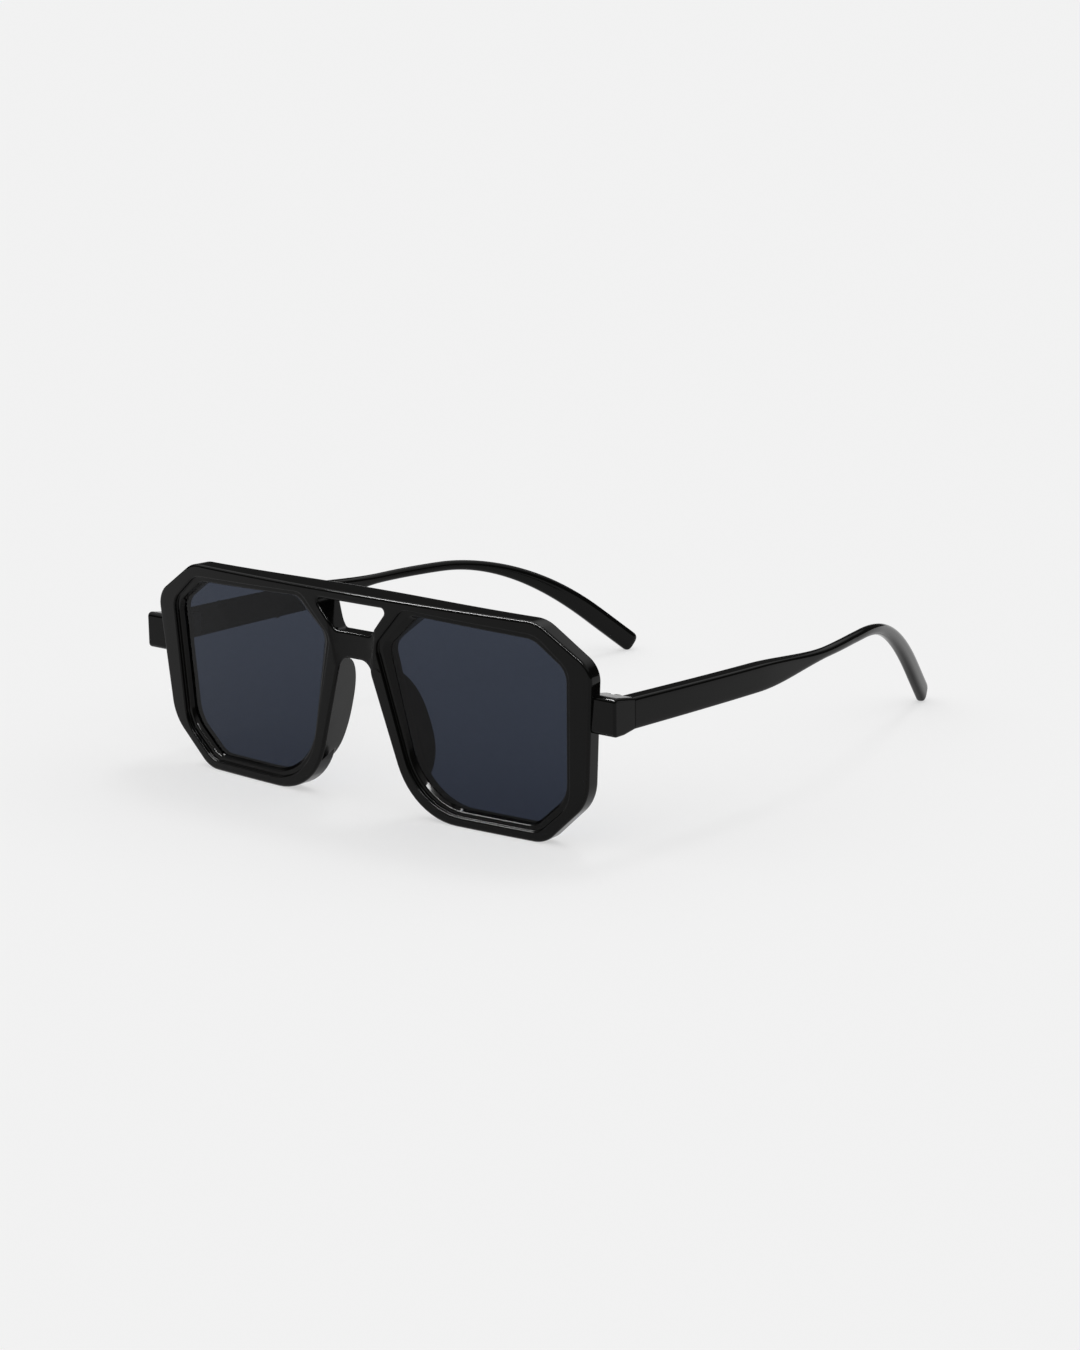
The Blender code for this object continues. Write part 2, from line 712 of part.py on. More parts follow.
class Sunglasses:
    def __init__(self):
        self.parts = new_collection("aviator_sunglasses")
        self.cutters = new_collection("cutters")
        self.drop = temple_drop()
        self.materials = {
            "frame": principled("black_frame_plastic", BLACK, 0.18),
            "lens": principled("smoke_lens", SMOKE, 0.05, alpha=0.8),
            "pad": principled("black_pad_plastic", BLACK, 0.3),
            "steel": principled("hinge_steel", STEEL, 0.3, 1.0),
        }

    def side_mesh(self, mesh, side):
        return mesh if side > 0 else mirrored_mesh(mesh)

    def cutter(self, name, mesh, side):
        label = "left" if side > 0 else "right"
        return add_cutter(f"{name}_{label}", self.side_mesh(mesh, side), self.cutters)

    def piece(self, name, mesh, side, material):
        label = "left" if side > 0 else "right"
        obj = add_object(f"{name}_{label}", self.side_mesh(mesh, side), self.parts, material)
        shade(obj.data)
        return obj

    def flat_front(self):
        outer = front_outline()
        hole = bridge_hole_outline()
        body = add_cutter("flat_front", curve_solid([outer, hole], RIM_DEPTH, EDGE_RADIUS), self.cutters)
        for side in (1, -1):
            boolean(body, "DIFFERENCE", self.cutter("lens_opening", lens_opening_cutter(), side))
        graph = bpy.context.evaluated_depsgraph_get()
        mesh = bpy.data.meshes.new_from_object(body.evaluated_get(graph))
        bpy.data.objects.remove(body, do_unlink=True)
        bend_mesh(mesh)
        return mesh

    def front_frame(self):
        obj = add_object("front_frame", self.flat_front(), self.parts, self.materials["frame"])
        axis = hinge_axis()
        well_height = 2 * (hinge_half_height() + SCREW_HEAD_HEIGHT + 0.35 * MM)
        for side in (1, -1):
            boolean(obj, "UNION", self.cutter("lug", lug_mesh(), side))
            well = cylinder_mesh(BARREL_RADIUS + METAL_GAP, well_height, axis, 32)
            boolean(obj, "DIFFERENCE", self.cutter("lug_hinge_well", well, side))
            boolean(obj, "DIFFERENCE", self.cutter("lug_leaf_recess", front_plate(METAL_GAP), side))
            boolean(obj, "DIFFERENCE", self.cutter("pad_recess", pad_mesh(PAD_GAP), side))
        shade(obj.data)
        return obj

    def lens(self, side):
        return self.piece("lens", lens_mesh(), side, self.materials["lens"])

    def nose_pad(self, side):
        return self.piece("nose_pad", pad_mesh(), side, self.materials["pad"])

    def temple(self, side):
        obj = self.piece("temple", loft(temple_rings(self.drop)), side, self.materials["frame"])
        axis = hinge_axis()
        well_height = 2 * (hinge_half_height() + SCREW_HEAD_HEIGHT + 0.35 * MM)
        well = cylinder_mesh(BARREL_RADIUS + METAL_GAP, well_height, axis, 32)
        boolean(obj, "DIFFERENCE", self.cutter("temple_hinge_well", well, side))
        boolean(obj, "DIFFERENCE", self.cutter("temple_leaf_recess", temple_plate(METAL_GAP), side))
        points = wire_points(self.drop)
        points[-1] = points[-1] + (points[-1] - points[-2]).normalized() * WIRE_GAP
        points.insert(0, points[0] - Vector((0.0, 3.0 * MM, 0.0)))
        slot = tube_mesh(points, WIRE_RADIUS + WIRE_GAP)
        boolean(obj, "DIFFERENCE", self.cutter("wire_slot", slot, side))
        return obj

    def core_wire(self, side):
        wire = tube_mesh(wire_points(self.drop), WIRE_RADIUS)
        return self.piece("core_wire", wire, side, self.materials["steel"])

    def hinge_front_leaf(self, side):
        obj = self.piece("hinge_front_leaf", front_plate(), side, self.materials["steel"])
        room = 2 * (hinge_half_height() - BARREL_HEIGHT) + 0.1 * MM
        middle = cylinder_mesh(BARREL_RADIUS + METAL_GAP, room, hinge_axis(), 32)
        boolean(obj, "DIFFERENCE", self.cutter("front_leaf_middle", middle, side))
        for level in (-1, 1):
            name = "top" if level > 0 else "bottom"
            boolean(obj, "UNION", self.cutter(f"front_barrel_{name}", barrel(level), side))
        self.bore(obj, "front_leaf", side)
        return obj

    def hinge_temple_leaf(self, side):
        obj = self.piece("hinge_temple_leaf", temple_plate(), side, self.materials["steel"])
        for level in (-1, 1):
            name = "top" if level > 0 else "bottom"
            centre = hinge_axis() + Vector((0.0, 0.0, level * (BARREL_HEIGHT + BARREL_GAP)))
            height = BARREL_HEIGHT + 4 * BARREL_GAP
            room = cylinder_mesh(BARREL_RADIUS + METAL_GAP, height, centre, 32)
            boolean(obj, "DIFFERENCE", self.cutter(f"temple_leaf_{name}_room", room, side))
        boolean(obj, "UNION", self.cutter("temple_barrel", barrel(0), side))
        web = level_box(0, 0.0, HINGE_INSIDE_FACE + LEAF_THICKNESS / 2, 0.5 * MM, BARREL_RADIUS + 0.6 * MM)
        boolean(obj, "UNION", self.cutter("temple_web", web, side))
        self.bore(obj, "temple_leaf", side)
        return obj

    def bore(self, obj, name, side):
        hole = cylinder_mesh(PIN_RADIUS + PIN_CLEARANCE, 4 * hinge_half_height(), hinge_axis(), 20)
        boolean(obj, "DIFFERENCE", self.cutter(f"{name}_bore", hole, side))

    def hinge_screw(self, side):
        shank, head = screw_mesh()
        obj = self.piece("hinge_screw", shank, side, self.materials["steel"])
        boolean(obj, "UNION", self.cutter("screw_head", head, side))
        return obj


def box_of(objects):
    bpy.context.view_layer.update()
    graph = bpy.context.evaluated_depsgraph_get()
    low = Vector((math.inf,) * 3)
    high = -low
    for obj in objects:
        evaluated = obj.evaluated_get(graph)
        for corner in evaluated.bound_box:
            place = evaluated.matrix_world @ Vector(corner)
            low = Vector(map(min, low, place))
            high = Vector(map(max, high, place))
    return low, high


def main():
    clear_scene()
    glasses = Sunglasses()
    fixed = [glasses.front_frame()]
    moving = []
    for side in (1, -1):
        fixed += [glasses.lens(side), glasses.nose_pad(side)]
        fixed += [glasses.hinge_front_leaf(side), glasses.hinge_screw(side)]
        arm = [glasses.temple(side), glasses.core_wire(side), glasses.hinge_temple_leaf(side)]
        moving.append((side, arm))
    everything = fixed + [obj for _, arm in moving for obj in arm]
    low, high = box_of(everything)
    origin = bpy.data.objects.new("sunglasses_origin", None)
    glasses.parts.objects.link(origin)
    for obj in fixed:
        obj.parent = origin
    for side, arm in moving:
        axis = hinge_axis()
        place = Vector((side * axis.x, axis.y, axis.z))
        label = "left" if side > 0 else "right"
        hinge = bpy.data.objects.new(f"temple_hinge_{label}", None)
        hinge.location = place
        hinge.parent = origin
        glasses.parts.objects.link(hinge)
        for obj in arm:
            obj.data.transform(Matrix.Translation(-place))
            obj.parent = hinge
    for cutter in glasses.cutters.objects:
        cutter.parent = origin
    origin.location = (0.0, -(low.y + high.y) / 2, 0.0)
    bpy.context.view_layer.update()


main()
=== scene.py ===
"""Looks for the aviator sunglasses: polished black plastic, smoke lenses, steel hinges, a white sweep.

Left is the wearer's left, at +X, and the sunglasses look along -Y.
"""

import json
import math

import bmesh
import bpy
from mathutils import Matrix, Vector


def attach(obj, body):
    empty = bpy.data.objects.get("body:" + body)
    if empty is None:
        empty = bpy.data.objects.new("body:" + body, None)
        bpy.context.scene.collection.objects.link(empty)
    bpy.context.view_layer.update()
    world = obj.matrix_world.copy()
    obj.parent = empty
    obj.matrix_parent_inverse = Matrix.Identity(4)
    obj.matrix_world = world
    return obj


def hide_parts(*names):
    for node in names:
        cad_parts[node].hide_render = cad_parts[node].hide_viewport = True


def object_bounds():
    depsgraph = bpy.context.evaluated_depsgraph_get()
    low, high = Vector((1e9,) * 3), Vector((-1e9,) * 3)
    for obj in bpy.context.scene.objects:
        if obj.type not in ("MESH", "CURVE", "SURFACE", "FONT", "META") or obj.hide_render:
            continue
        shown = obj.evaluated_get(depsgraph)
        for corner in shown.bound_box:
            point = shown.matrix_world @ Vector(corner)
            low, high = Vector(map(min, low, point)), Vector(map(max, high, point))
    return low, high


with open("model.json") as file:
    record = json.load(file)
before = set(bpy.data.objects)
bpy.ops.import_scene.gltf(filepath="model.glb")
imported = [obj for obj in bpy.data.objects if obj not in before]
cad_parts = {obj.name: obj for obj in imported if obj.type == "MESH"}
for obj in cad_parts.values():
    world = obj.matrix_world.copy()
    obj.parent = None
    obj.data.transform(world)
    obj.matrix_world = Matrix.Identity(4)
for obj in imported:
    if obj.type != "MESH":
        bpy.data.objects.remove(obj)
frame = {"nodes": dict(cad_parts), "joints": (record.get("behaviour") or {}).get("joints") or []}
CAD_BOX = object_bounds()

MM = 0.001

# Front, seen face on
FRONT_HEIGHT = 47.3 * MM
RIM_HALF_WIDTH = 62.5 * MM
SIDE_TAPER = 2.4 * MM
TOP_CHAMFER_WIDTH = 12.9 * MM
TOP_CHAMFER_HEIGHT = 8.5 * MM
LOWER_CHAMFER_WIDTH = 11.2 * MM
LOWER_CHAMFER_HEIGHT = 10.3 * MM
NOSE_HALF_WIDTH_BOTTOM = 14.3 * MM
NOSE_HALF_WIDTH_TOP = 3.9 * MM
NOSE_CORNER_RADIUS = 16.0 * MM
ARCH_BELOW_TOP = 14.6 * MM
HOLE_BELOW_TOP = 2.2 * MM
HOLE_HEIGHT = 6.6 * MM
HOLE_HALF_WIDTH_TOP = 10.6 * MM
HOLE_HALF_WIDTH_BOTTOM = 5.0 * MM

# Front, seen from above
WRAP_RADIUS = 565.0 * MM
LEAN = 0.053
RIM_DEPTH = 4.0 * MM
REAR_LIP = 0.67 * MM
BROW_EXTRA_DEPTH = 3.6 * MM
BROW_REACH = 38.0 * MM
EDGE_RADIUS = 0.65 * MM
EDGE_STEPS = 4

# Face bands and the stepped opening
BAND_TOP_NASAL = 1.8 * MM
BAND_TOP_OUTER = 2.9 * MM
BAND_SIDE_TOP = 5.6 * MM
BAND_SIDE_LOW = 4.5 * MM
BAND_BOTTOM = 2.2 * MM
BAND_NOSE = 2.4 * MM
OPENING_CORNER_WIDTH = 7.9 * MM
OPENING_CORNER_BELOW_TOP = 9.3 * MM
OPENING_LOWER_CORNER_WIDTH = 8.2 * MM
OPENING_LOWER_CORNER_HEIGHT = 7.2 * MM
OPENING_NOSE_CORNER_BELOW_TOP = 10.5 * MM
OPENING_NOSE_CORNER_OUTWARD = 1.4 * MM
OPENING_NOSE_CORNER_WIDTH = 8.2 * MM
STEP_DEPTH = 0.85 * MM
LEDGE = 1.0 * MM
LEDGE_SLOPE = 0.35 * MM
NOSE_LEDGE = 1.5 * MM
NOSE_SLOPE = 1.4 * MM
LENS_SET_BACK = 1.85 * MM
LENS_THICKNESS = 1.2 * MM
LENS_IN_GROOVE = 0.6 * MM
GROOVE_GAP = 0.1 * MM
FACE_EDGE_ROUND = 0.28 * MM
STEP_FILLET = 0.15 * MM
LEDGE_EDGE_ROUND = 0.2 * MM
REAR_FLARE = 0.25 * MM

# The shallow waist between the rims, which widens upward
WAIST_LOW = 31.5 * MM
WAIST_HIGH = 38.5 * MM
WAIST_HALF_WIDTH_LOW = 5.0 * MM
WAIST_HALF_WIDTH_HIGH = 6.4 * MM
WAIST_DEPTH = 0.32 * MM
WAIST_HOLLOW = 0.25 * MM
WAIST_WALL = 0.7 * MM

# Lugs
LUG_PROJECTION = 5.0 * MM
LUG_OVERLAP = 2.9 * MM
LUG_TOP_BELOW_FRONT_TOP = 13.75 * MM
LUG_HEIGHT = 8.3 * MM
LUG_SET_BACK = 0.6 * MM
LUG_LENGTH = 6.6 * MM
LUG_EDGE = 0.6 * MM
HINGE_BELOW_LUG_MIDDLE = 0.3 * MM

# Temples
BLADE_HEIGHT = 6.7 * MM
BLADE_TAPER = 0.7 * MM
BLADE_WIDTH = 3.8 * MM
BLADE_LENGTH = 41.0 * MM
NARROWING_LENGTH = 29.0 * MM
ARM_HEIGHT = 2.4 * MM
ARM_WIDTH = 2.4 * MM
TIP_HEIGHT = 5.0 * MM
TIP_WIDTH = 2.6 * MM
TIP_ROUNDING = 1.1 * MM
TEMPLE_REACH = 141.2 * MM
BEND_START = 88.0 * MM
BEND_END = 130.0 * MM
TOE_IN_START = 62.0 * MM
TOE_IN_END = 100.0 * MM
TOE_IN_SLOPE = 0.35
BOW = 1.0 * MM
RISE = 1.3 * MM
DOWN_SLOPE = 0.021
SEAM_GAP = 0.15 * MM
BLADE_SQUARENESS = 7.0
ARM_SQUARENESS = 2.2
TIP_SQUARENESS = 3.0
WIDENING_START = 4.0 * MM
WIDENING_END = 8.0 * MM
SEAM_EDGE_SHARE = 0.985
FIRST_DROP = 0.65

# Hinges
HINGE_INSIDE_FACE = 1.0 * MM
BARREL_RADIUS = 1.2 * MM
BARREL_HEIGHT = 1.7 * MM
BARREL_GAP = 0.1 * MM
PIN_RADIUS = 0.62 * MM
SCREW_HEAD_RADIUS = 1.05 * MM
SCREW_HEAD_HEIGHT = 0.5 * MM
SCREW_HEAD_GAP = 0.1 * MM
SCREW_RIM_SHARE = 0.55
SCREW_SLOT_WIDTH = 0.28 * MM
LEAF_THICKNESS = 0.9 * MM
LEAF_LENGTH = 7.0 * MM
FRONT_LEAF_LENGTH = 3.6 * MM
METAL_GAP = 0.2 * MM
LEAF_END_GAP = 0.1 * MM
WELL_END_GAP = 0.35 * MM

# Nose pads
PAD_TOP_BELOW_ARCH = 0.6 * MM
PAD_BOTTOM = 6.6 * MM
PAD_DEPTH = 10.3 * MM
PAD_SPLAY = 0.27
PAD_THICKNESS = 1.5 * MM
PAD_ROUNDNESS = 2.4
PAD_THINNING = 0.45
PAD_LEAST_DEPTH = 1.2 * MM
PAD_FRONT_OUTWARD = 0.25 * MM
PAD_FRONT_SET_BACK = 0.75 * MM
PAD_GAP = 0.06 * MM
PAD_CUT_OUTWARD = 1.5 * MM
PAD_CUT_START = 0.3 * MM
PAD_CUT_TAPER = 6.0 * MM

ARC_STEPS = 12
SLICE_WIDTH = 3.0 * MM

# Camera: where it stands, which way it looks, and its lens
CAMERA_PLACE = (448.0 * MM, -473.4 * MM, 187.97 * MM)
CAMERA_BACK = (0.6238, -0.74447, 0.23769)
CAMERA_RIGHT = (0.7685, 0.63966, -0.013436)
CAMERA_LENS = 84.2

# Light
SKY_STRENGTH = 0.9
SUN_STRENGTH = 0.3
SUN_FROM = (-0.1, 0.45, 0.85)
SUN_WIDTH_DEGREES = 15
FLOOR_HALF_SIZE = 8.0
FLOOR_GREY = 0.43
FLOOR_GLOW = 0.54

# Strip lights: both ends, the width and the radiance
EDGE_STRIP = ((-0.64, -0.24, 0.73), (0.15, -0.55, 0.85), 0.10, 115.0)
CORNER_STRIP = ((0.18, -0.56, 0.83), (0.45, -0.6, 0.68), 0.07, 70.0)


def smooth_step(value, start, end):
    share = min(max((value - start) / (end - start), 0.0), 1.0)
    return share * share * (3.0 - 2.0 * share)


def mix(first, second, share):
    return first + (second - first) * share


# Outlines: lists of (x, z), made from corners (x, z, radius)


def rounded(corners, steps=ARC_STEPS):
    outline = []
    for index, (x, z, radius) in enumerate(corners):
        corner = Vector((x, z))
        before = (Vector(corners[index - 1][:2]) - corner).normalized()
        after = (Vector(corners[(index + 1) % len(corners)][:2]) - corner).normalized()
        half_angle = before.angle(after) / 2
        centre = corner + (before + after).normalized() * (radius / math.sin(half_angle))
        start = corner + before * (radius / math.tan(half_angle)) - centre
        end = corner + after * (radius / math.tan(half_angle)) - centre
        turn = start.angle_signed(end)
        for step in range(steps + 1):
            point = centre + Matrix.Rotation(-turn * step / steps, 2) @ start
            outline.append((point.x, point.y))
    return outline


def nose_line(z):
    """Half the width of the gap between the rims, at height z."""
    return mix(NOSE_HALF_WIDTH_BOTTOM, NOSE_HALF_WIDTH_TOP, z / (FRONT_HEIGHT - ARCH_BELOW_TOP))


def nose_edge(z):
    """The same along the rim itself, which rounds away from that line at its lower corner."""
    radius = NOSE_CORNER_RADIUS
    slope = math.atan2(FRONT_HEIGHT - ARCH_BELOW_TOP, NOSE_HALF_WIDTH_BOTTOM - NOSE_HALF_WIDTH_TOP)
    centre = NOSE_HALF_WIDTH_BOTTOM + radius * (1.0 - math.cos(slope)) / math.sin(slope)
    if z >= radius * (1.0 - math.cos(slope)):
        return nose_line(z)
    return centre - math.sqrt(radius**2 - (radius - z) ** 2)


def front_outline():
    arch = FRONT_HEIGHT - ARCH_BELOW_TOP
    half = [
        (RIM_HALF_WIDTH - TOP_CHAMFER_WIDTH, FRONT_HEIGHT, 7.8 * MM),
        (RIM_HALF_WIDTH, FRONT_HEIGHT - TOP_CHAMFER_HEIGHT, 5.5 * MM),
        (RIM_HALF_WIDTH - SIDE_TAPER, LOWER_CHAMFER_HEIGHT, 10.0 * MM),
        (RIM_HALF_WIDTH - SIDE_TAPER - LOWER_CHAMFER_WIDTH, 0.0, 6.9 * MM),
        (NOSE_HALF_WIDTH_BOTTOM, 0.0, NOSE_CORNER_RADIUS),
        (nose_line(arch), arch, 3.0 * MM),
    ]
    mirrored = [(-x, z, radius) for x, z, radius in reversed(half)]
    return rounded(half + mirrored)


def bridge_hole_outline():
    top = FRONT_HEIGHT - HOLE_BELOW_TOP
    bottom = top - HOLE_HEIGHT
    return rounded(
        [
            (-HOLE_HALF_WIDTH_TOP, top, 0.9 * MM),
            (-HOLE_HALF_WIDTH_BOTTOM, bottom, 1.2 * MM),
            (HOLE_HALF_WIDTH_BOTTOM, bottom, 1.2 * MM),
            (HOLE_HALF_WIDTH_TOP, top, 0.9 * MM),
        ],
        8,
    )


def nose_inset(inset):
    """How far the opening is drawn in beside the nose, where it is drawn in by inset elsewhere."""
    if inset <= 0.0:
        return inset
    if inset <= LEDGE:
        return inset * NOSE_LEDGE / LEDGE
    return NOSE_LEDGE + (inset - LEDGE) * NOSE_SLOPE / LEDGE_SLOPE


def opening_outline(inset, beside_nose=None):
    """The opening for the left lens, drawn in by inset, and by beside_nose along the nose."""
    beside_nose = nose_inset(inset) if beside_nose is None else beside_nose
    side = RIM_HALF_WIDTH - BAND_SIDE_TOP - inset
    side_low = RIM_HALF_WIDTH - SIDE_TAPER - BAND_SIDE_LOW - inset
    bottom = BAND_BOTTOM + inset
    nasal_top = FRONT_HEIGHT - BAND_TOP_NASAL - inset
    nose_low = nose_line(bottom) + BAND_NOSE + 0.4 * beside_nose
    nose_high_z = FRONT_HEIGHT - OPENING_NOSE_CORNER_BELOW_TOP
    nose_high = nose_line(nose_high_z) + BAND_NOSE + OPENING_NOSE_CORNER_OUTWARD + beside_nose
    return rounded(
        [
            (side - OPENING_CORNER_WIDTH, FRONT_HEIGHT - BAND_TOP_OUTER - inset, 6.0 * MM),
            (side, FRONT_HEIGHT - OPENING_CORNER_BELOW_TOP - 0.4 * inset, 4.5 * MM),
            (side_low, bottom + OPENING_LOWER_CORNER_HEIGHT, 8.0 * MM),
            (side_low - OPENING_LOWER_CORNER_WIDTH, bottom, 5.0 * MM),
            (nose_low, bottom, 15.0 * MM),
            (nose_high, nose_high_z, 3.5 * MM),
            (nose_high + OPENING_NOSE_CORNER_WIDTH, nasal_top, 3.5 * MM),
        ]
    )


# Bending: depth runs from the front face to the back


def front_surface(x, z):
    wrap = WRAP_RADIUS - math.sqrt(WRAP_RADIUS**2 - x**2)
    return wrap + LEAN * (FRONT_HEIGHT / 2 - z)


def brow_depth(x, z):
    hole_top = FRONT_HEIGHT - HOLE_BELOW_TOP
    share = 0.15 + 0.85 * smooth_step(z, hole_top - HOLE_HEIGHT, hole_top)
    return BROW_EXTRA_DEPTH * share * math.exp(-((x / BROW_REACH) ** 2))


def waist_edge(z):
    """Half the width of the waist between the rims, at height z."""
    share = (z - WAIST_LOW) / (WAIST_HIGH - WAIST_LOW)
    return mix(WAIST_HALF_WIDTH_LOW, WAIST_HALF_WIDTH_HIGH, share)


def waist_recess(x, z):
    hole_bottom = FRONT_HEIGHT - HOLE_BELOW_TOP - HOLE_HEIGHT
    if z > hole_bottom + 1.5 * MM:
        return 0.0
    inside = waist_edge(z) - abs(x)
    wall = smooth_step(inside, -WAIST_WALL / 2, WAIST_WALL / 2)
    hollow = max(0.0, 1.0 - (x / waist_edge(z)) ** 2)
    return WAIST_DEPTH * wall + WAIST_HOLLOW * hollow


def bent(x, depth, z):
    if depth > RIM_DEPTH - REAR_LIP - 0.01 * MM:
        depth += brow_depth(x, z)
    elif depth < RIM_DEPTH / 2:
        depth += waist_recess(x, z) * (1.0 - 2.0 * depth / RIM_DEPTH)
    return Vector((x * (1.0 - depth / WRAP_RADIUS), front_surface(x, z) + depth, z))


def slice_planes():
    """Planes to cut a flat mesh with before it is bent: point and normal of each."""
    slices = math.floor(RIM_HALF_WIDTH / SLICE_WIDTH)
    planes = [((index * SLICE_WIDTH, 0.0, 0.0), (1.0, 0.0, 0.0)) for index in range(-slices, slices + 1)]
    planes += [((x * MM, 0.0, 0.0), (1.0, 0.0, 0.0)) for x in (-4, -2, -1, 1, 2, 4)]
    lean = (WAIST_HALF_WIDTH_HIGH - WAIST_HALF_WIDTH_LOW) / (WAIST_HIGH - WAIST_LOW)
    middle = (WAIST_LOW + WAIST_HIGH) / 2
    for side in (1, -1):
        for step in range(-2, 3):
            offset = WAIST_WALL / 4 * step
            point = (side * (waist_edge(middle) + offset), 0.0, middle)
            planes.append((point, (1.0, 0.0, -side * lean)))
    return planes


def bend_mesh(mesh, planes=()):
    shape = bmesh.new()
    shape.from_mesh(mesh)
    for point, normal in planes:
        geometry = shape.verts[:] + shape.edges[:] + shape.faces[:]
        bmesh.ops.bisect_plane(shape, geom=geometry, dist=0.005 * MM, plane_co=point, plane_no=normal)
    for vertex in shape.verts:
        vertex.co = bent(*vertex.co)
    shape.to_mesh(mesh)
    shape.free()


# Meshes


def evaluated_mesh(obj):
    graph = bpy.context.evaluated_depsgraph_get()
    mesh = bpy.data.meshes.new_from_object(obj.evaluated_get(graph))
    bpy.data.objects.remove(obj, do_unlink=True)
    return mesh


def helper(mesh):
    obj = bpy.data.objects.new("helper", mesh)
    bpy.context.scene.collection.objects.link(obj)
    return obj


def combine(mesh, *steps):
    """The mesh after Booleans, each one an operation and the other mesh."""
    body = helper(mesh)
    others = []
    for operation, other in steps:
        others.append(helper(other))
        modifier = body.modifiers.new(operation, "BOOLEAN")
        modifier.operation = operation
        modifier.object = others[-1]
        modifier.solver = "EXACT"
    result = evaluated_mesh(body)
    for other in others:
        bpy.data.objects.remove(other, do_unlink=True)
    return result


def welded(mesh):
    shape = bmesh.new()
    shape.from_mesh(mesh)
    bmesh.ops.remove_doubles(shape, verts=shape.verts, dist=0.0005 * MM)
    shape.normal_update()
    bmesh.ops.recalc_face_normals(shape, faces=shape.faces)
    shape.to_mesh(mesh)
    shape.free()
    return mesh


def curve_solid(outlines, thickness, edge_radius=0.0, edge_steps=EDGE_STEPS):
    """A mesh of flat outlines, extruded: x across, depth along Y and z up. Later outlines are holes."""
    curve = bpy.data.curves.new("outline", "CURVE")
    curve.dimensions = "2D"
    curve.fill_mode = "BOTH"
    curve.extrude = thickness / 2 - edge_radius
    curve.bevel_depth = edge_radius
    curve.bevel_resolution = edge_steps
    curve.offset = -edge_radius
    for outline in outlines:
        spline = curve.splines.new("POLY")
        spline.points.add(len(outline) - 1)
        for point, (x, z) in zip(spline.points, outline):
            point.co = (x, z, 0.0, 1.0)
        spline.use_cyclic_u = True
    mesh = evaluated_mesh(helper(curve))
    for vertex in mesh.vertices:
        x, z, depth = vertex.co
        vertex.co = (x, depth + thickness / 2, z)
    return welded(mesh)


def loft(rings):
    """A closed mesh through rings of points, with the first and last ring as its ends."""
    shape = bmesh.new()
    rows = [[shape.verts.new(point) for point in ring] for ring in rings]
    for lower, upper in zip(rows, rows[1:]):
        for index in range(len(lower)):
            after = (index + 1) % len(lower)
            shape.faces.new((lower[index], lower[after], upper[after], upper[index]))
    shape.faces.new(rows[0])
    shape.faces.new(rows[-1])
    bmesh.ops.recalc_face_normals(shape, faces=shape.faces)
    mesh = bpy.data.meshes.new("loft")
    shape.to_mesh(mesh)
    shape.free()
    return mesh


def mirrored_mesh(mesh):
    copy = mesh.copy()
    copy.transform(Matrix.Scale(-1.0, 4, Vector((1.0, 0.0, 0.0))))
    copy.flip_normals()
    return copy


def on_side(mesh, side):
    return mesh if side > 0 else mirrored_mesh(mesh)


def cylinder_mesh(radius, height, centre, sides=48):
    shape = bmesh.new()
    bmesh.ops.create_cone(
        shape, cap_ends=True, segments=sides, radius1=radius, radius2=radius, depth=height
    )
    bmesh.ops.translate(shape, verts=shape.verts, vec=centre)
    mesh = bpy.data.meshes.new("cylinder")
    shape.to_mesh(mesh)
    shape.free()
    return mesh


def box_mesh(low, high):
    shape = bmesh.new()
    bmesh.ops.create_cube(shape, size=1.0)
    bmesh.ops.scale(shape, verts=shape.verts, vec=Vector(high) - Vector(low))
    bmesh.ops.translate(shape, verts=shape.verts, vec=(Vector(low) + Vector(high)) / 2)
    mesh = bpy.data.meshes.new("box")
    shape.to_mesh(mesh)
    shape.free()
    return mesh


def ring_at(outline, depth):
    return [Vector((x, depth, z)) for x, z in outline]


# The front


def opening_profile():
    """The stepped wall round a lens, from front to back: (inset, depth)."""
    profile = [(-FACE_EDGE_ROUND, -1.0 * MM)]
    for step in range(5):
        turn = math.pi / 2 * step / 4
        profile.append(
            (FACE_EDGE_ROUND * (math.sin(turn) - 1.0), FACE_EDGE_ROUND * (1.0 - math.cos(turn)))
        )
    for step in range(4):
        turn = math.pi / 2 * step / 3
        inset = STEP_FILLET * (1.0 - math.cos(turn))
        profile.append((inset, STEP_DEPTH - STEP_FILLET * (1.0 - math.sin(turn))))
    lens_edge = LEDGE + LEDGE_SLOPE
    wall = LENS_SET_BACK - GROOVE_GAP - STEP_DEPTH
    start = Vector((LEDGE - LEDGE_EDGE_ROUND, STEP_DEPTH))
    corner = Vector((LEDGE, STEP_DEPTH))
    end = corner + Vector((LEDGE_SLOPE, wall)) * (LEDGE_EDGE_ROUND / wall)
    for step in range(5):
        share = step / 4
        profile.append(tuple(start.lerp(corner, share).lerp(corner.lerp(end, share), share)))
    profile.append((lens_edge, LENS_SET_BACK - GROOVE_GAP))
    return profile


